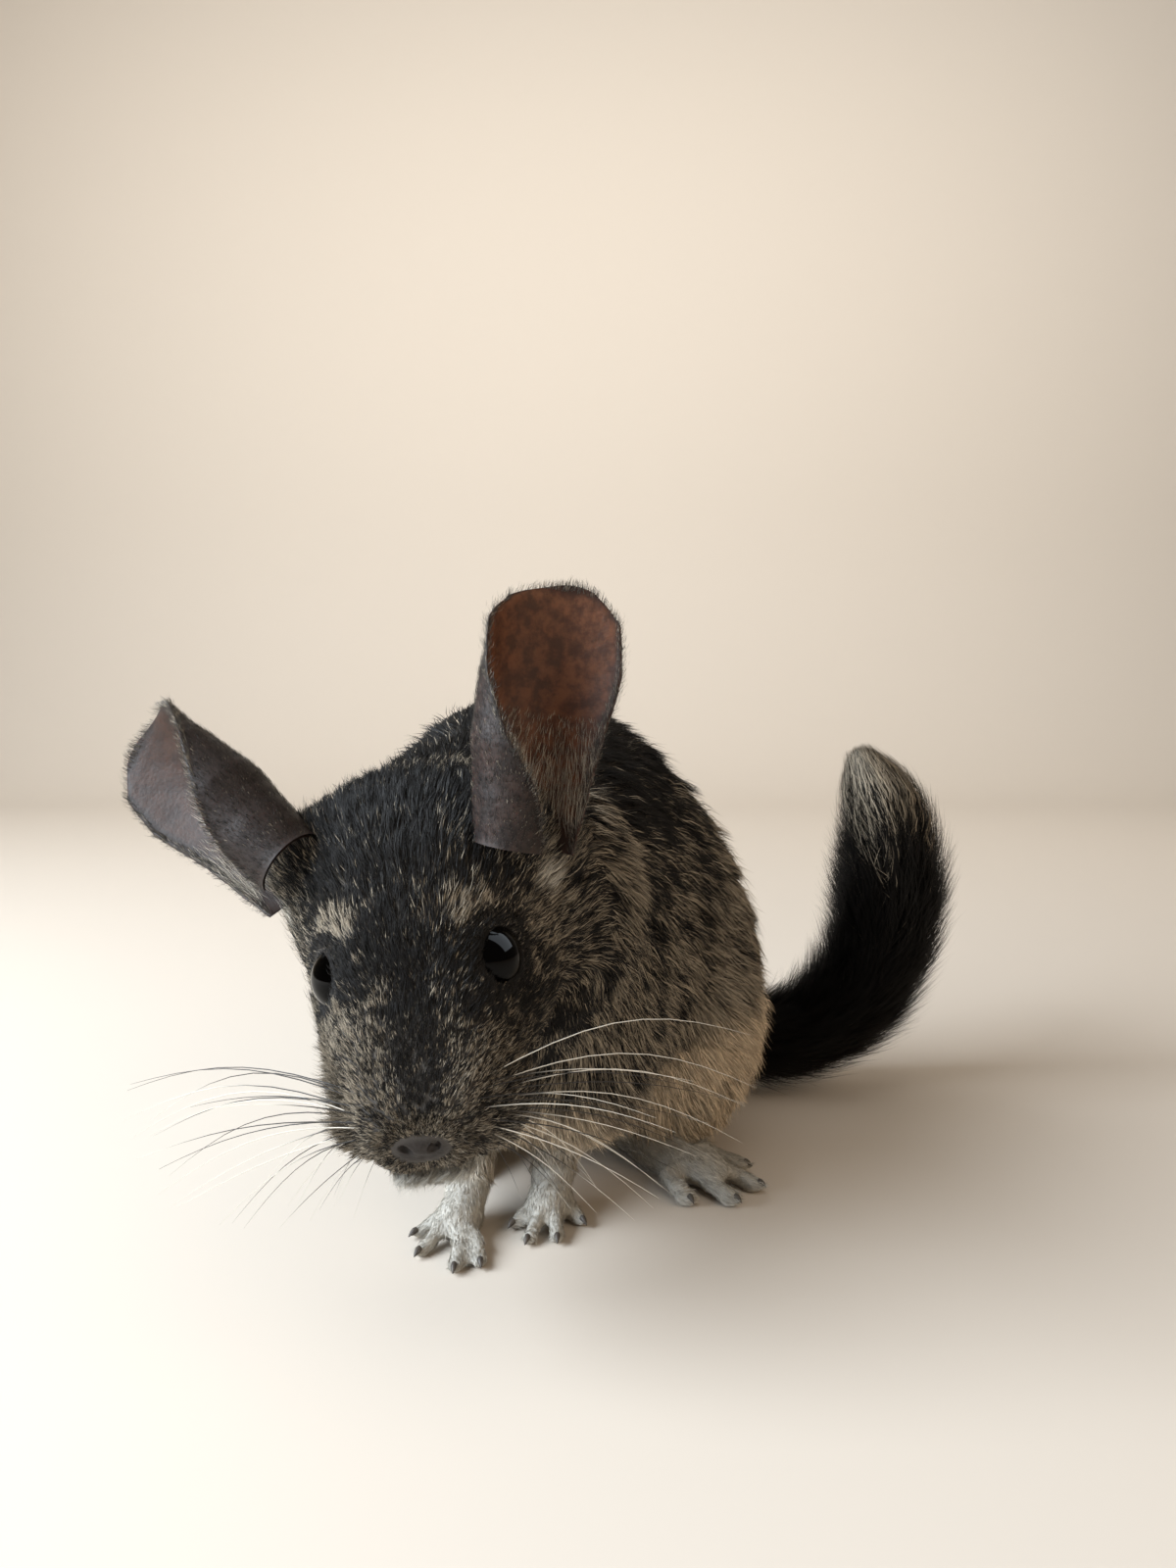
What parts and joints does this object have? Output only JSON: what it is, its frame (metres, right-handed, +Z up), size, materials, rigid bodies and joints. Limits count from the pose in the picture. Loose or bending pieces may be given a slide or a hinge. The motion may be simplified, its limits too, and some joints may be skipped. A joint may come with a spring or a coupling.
{
  "type": "chinchilla",
  "caption": "Life-size still chinchilla crouched on its feet, head lowered, large scooped ears and a bushy tail curled up at its side.",
  "frame": {"origin": "centre of the bottom of the bounding box, on the floor that the soles stand on", "axes": "+Z up, -Y the way the body faces, +X to the animal's left"},
  "size_m": [0.1718, 0.2198, 0.1519],
  "materials": {
    "ear_left": "thin bare skin with fine short down",
    "ear_right": "thin bare skin with fine short down",
    "eye_left": "wet gloss",
    "eye_right": "wet gloss",
    "foreleg_left": "dense soft fur",
    "foreleg_right": "dense soft fur",
    "forepaw_left": "dense soft fur",
    "forepaw_right": "dense soft fur",
    "haunch_left": "dense soft fur",
    "haunch_right": "dense soft fur",
    "head": "dense soft fur",
    "hindfoot_left": "dense soft fur",
    "hindfoot_right": "dense soft fur",
    "neck": "dense soft fur",
    "tail_base": "dense soft fur",
    "tail_end": "dense soft fur",
    "torso": "dense soft fur"
  },
  "bodies": {
    "root": {"ear_left": "ear_left", "ear_right": "ear_right", "eye_left": "eye_left", "eye_right": "eye_right", "foreleg_left": "foreleg_left", "foreleg_right": "foreleg_right", "forepaw_left": "forepaw_left", "forepaw_right": "forepaw_right", "haunch_left": "haunch_left", "haunch_right": "haunch_right", "head": "head", "hindfoot_left": "hindfoot_left", "hindfoot_right": "hindfoot_right", "neck": "neck", "tail_base": "tail_base", "tail_end": "tail_end", "torso": "torso"}
  },
  "joints": []
}
